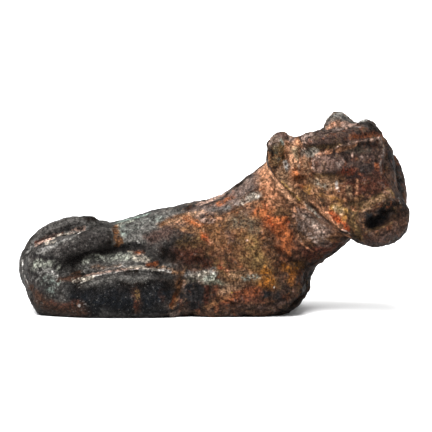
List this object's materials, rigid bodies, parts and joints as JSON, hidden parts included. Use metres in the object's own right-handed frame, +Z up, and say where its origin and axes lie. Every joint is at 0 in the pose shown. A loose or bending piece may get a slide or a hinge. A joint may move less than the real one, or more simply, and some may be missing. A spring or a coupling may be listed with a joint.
{
  "type": "recumbent bull statuette",
  "caption": "Small solid-cast bronze figure of a lying bull, legs folded under it, tail on its rump and head turned to its right; stands on a flat underside.",
  "frame": {"origin": "centre of the bounding box's bottom, on the flat underside", "axes": "+X from the rump to the chest, +Y to the animal's left, +Z up"},
  "size_m": [0.0616, 0.0232, 0.032],
  "materials": {
    "bronze": "corroded cast bronze with a near-black, rust-orange and pale green patina"
  },
  "bodies": {
    "root": {"bull": "bronze"}
  },
  "joints": []
}
